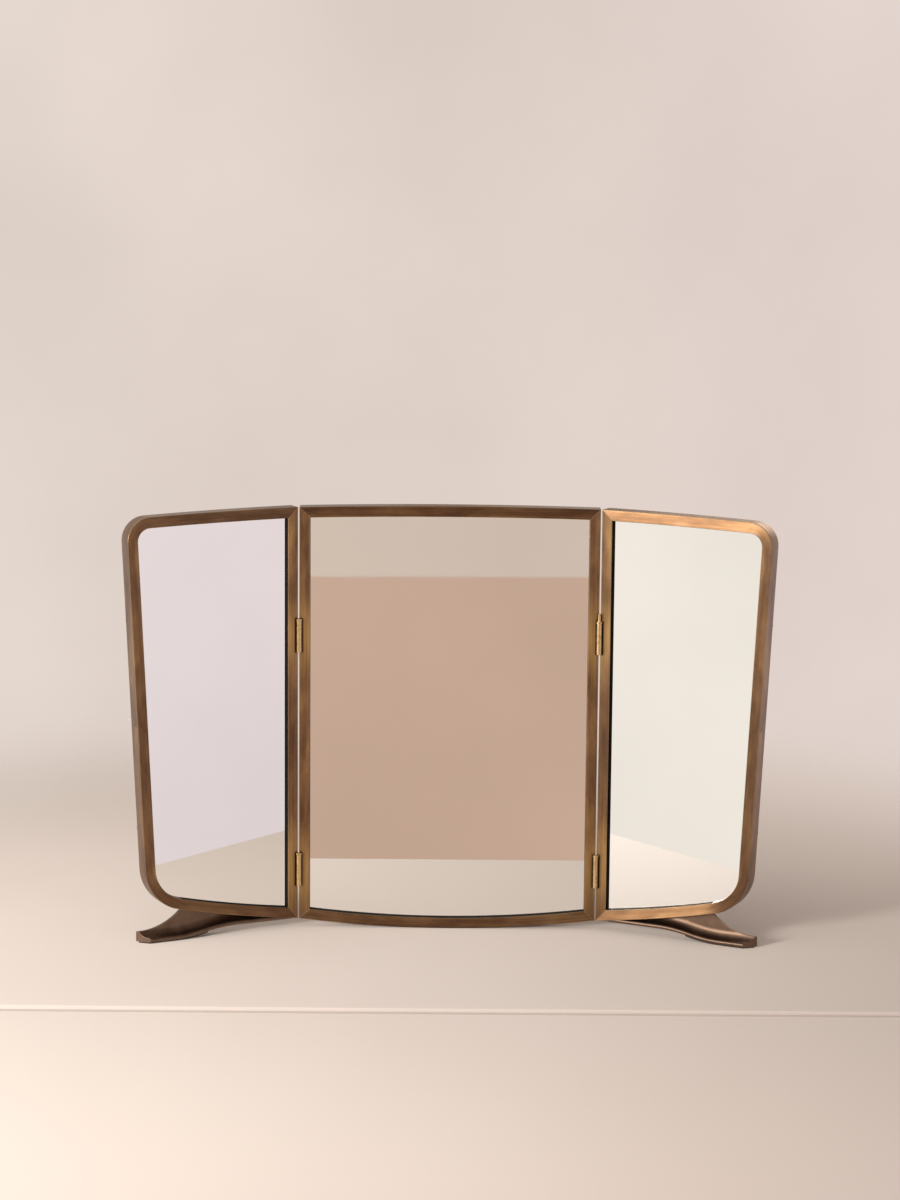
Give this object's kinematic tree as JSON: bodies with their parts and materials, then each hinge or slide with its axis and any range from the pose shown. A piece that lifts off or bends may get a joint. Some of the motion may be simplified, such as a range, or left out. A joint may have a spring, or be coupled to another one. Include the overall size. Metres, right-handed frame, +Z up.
{
  "type": "folding table mirror",
  "caption": "Free-standing table mirror with a fixed centre panel, hinged side panels that fold forward, and low swept feet.",
  "frame": {"origin": "middle of the plan box on the surface that the mirror stands on", "axes": "+X to the right as seen from the front, +Y to the back, +Z up"},
  "size_m": [0.7582, 0.1168, 0.5113],
  "materials": {
    "frame_brass": "brushed antique brass",
    "foot_brass": "polished antique brass",
    "hinge_brass": "polished brass",
    "mirror_silver": "silvered float glass",
    "glazing_tape": "black foam tape",
    "backing_board": "stained fibreboard",
    "plated_steel": "zinc plated",
    "sole_pad": "dark rubber sheet"
  },
  "bodies": {
    "centre": {"centre_backing_board": "backing_board", "centre_board_clips": "plated_steel", "centre_bottom_rail": "frame_brass", "centre_clip_screws": "plated_steel", "centre_corner_irons": "plated_steel", "centre_glazing_tape": "glazing_tape", "centre_iron_screws": "plated_steel", "centre_left_stile": "frame_brass", "centre_mirror_glass": "mirror_silver", "centre_right_stile": "frame_brass", "centre_top_rail": "frame_brass", "fixed_leaf_screws": "hinge_brass", "hinge_washers": "hinge_brass", "left_lower_fixed_leaf": "hinge_brass", "left_lower_hinge_pin": "hinge_brass", "left_upper_fixed_leaf": "hinge_brass", "left_upper_hinge_pin": "hinge_brass", "right_lower_fixed_leaf": "hinge_brass", "right_lower_hinge_pin": "hinge_brass", "right_upper_fixed_leaf": "hinge_brass", "right_upper_hinge_pin": "hinge_brass"},
    "left_wing": {"left_wing_backing_board": "backing_board", "left_wing_board_clips": "plated_steel", "left_wing_clip_screws": "plated_steel", "left_wing_corner_irons": "plated_steel", "left_wing_foot": "foot_brass", "left_wing_foot_pad": "sole_pad", "left_wing_foot_screws": "plated_steel", "left_wing_frame_bow": "frame_brass", "left_wing_glazing_tape": "glazing_tape", "left_wing_hinge_stile": "frame_brass", "left_wing_iron_screws": "plated_steel", "left_wing_lower_moving_leaf": "hinge_brass", "left_wing_mirror_glass": "mirror_silver", "left_wing_moving_leaf_screws": "hinge_brass", "left_wing_upper_moving_leaf": "hinge_brass"},
    "right_wing": {"right_wing_backing_board": "backing_board", "right_wing_board_clips": "plated_steel", "right_wing_clip_screws": "plated_steel", "right_wing_corner_irons": "plated_steel", "right_wing_foot": "foot_brass", "right_wing_foot_pad": "sole_pad", "right_wing_foot_screws": "plated_steel", "right_wing_frame_bow": "frame_brass", "right_wing_glazing_tape": "glazing_tape", "right_wing_hinge_stile": "frame_brass", "right_wing_iron_screws": "plated_steel", "right_wing_lower_moving_leaf": "hinge_brass", "right_wing_mirror_glass": "mirror_silver", "right_wing_moving_leaf_screws": "hinge_brass", "right_wing_upper_moving_leaf": "hinge_brass"}
  },
  "joints": [
    {"name": "left_wing_fold", "type": "hinge", "parent": "centre", "child": "left_wing", "pos_m": [-0.1778, 0.03278, 0.072], "axis": [0, 0, 1], "range_deg": [-26, 119]},
    {"name": "right_wing_fold", "type": "hinge", "parent": "centre", "child": "right_wing", "pos_m": [0.1778, 0.03278, 0.072], "axis": [0, 0, -1], "range_deg": [-26, 119]}
  ]
}
